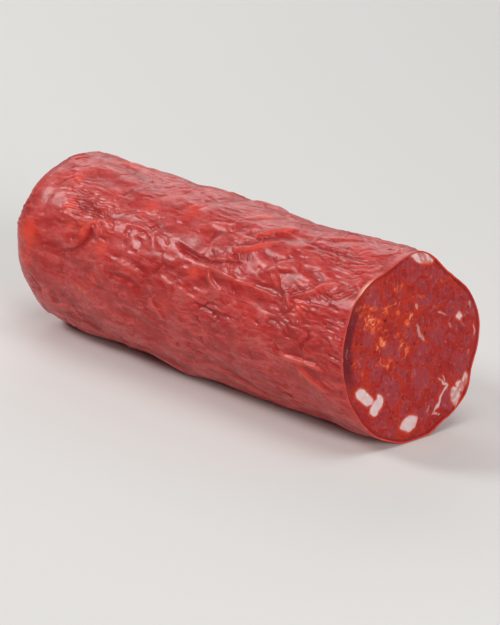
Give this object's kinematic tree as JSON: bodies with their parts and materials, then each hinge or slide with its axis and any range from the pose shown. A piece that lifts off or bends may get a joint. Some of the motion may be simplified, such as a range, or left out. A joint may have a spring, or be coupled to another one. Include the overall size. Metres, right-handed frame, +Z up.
{
  "type": "cured sausage",
  "caption": "Cut half of a thick cured sausage with a wrinkled red casing, a blunt domed end and a flat cut face, lying on its side.",
  "frame": {"origin": "middle of the base of the bounding box, on the surface that the sausage lies on", "axes": "+X along the sausage from its domed end to its cut, +Y away from the shown side, +Z up"},
  "size_m": [0.165, 0.0574, 0.0555],
  "materials": {
    "casing": "moist wrinkled casing, soft uneven gloss"
  },
  "bodies": {
    "root": {"sausage": "casing"}
  },
  "joints": []
}
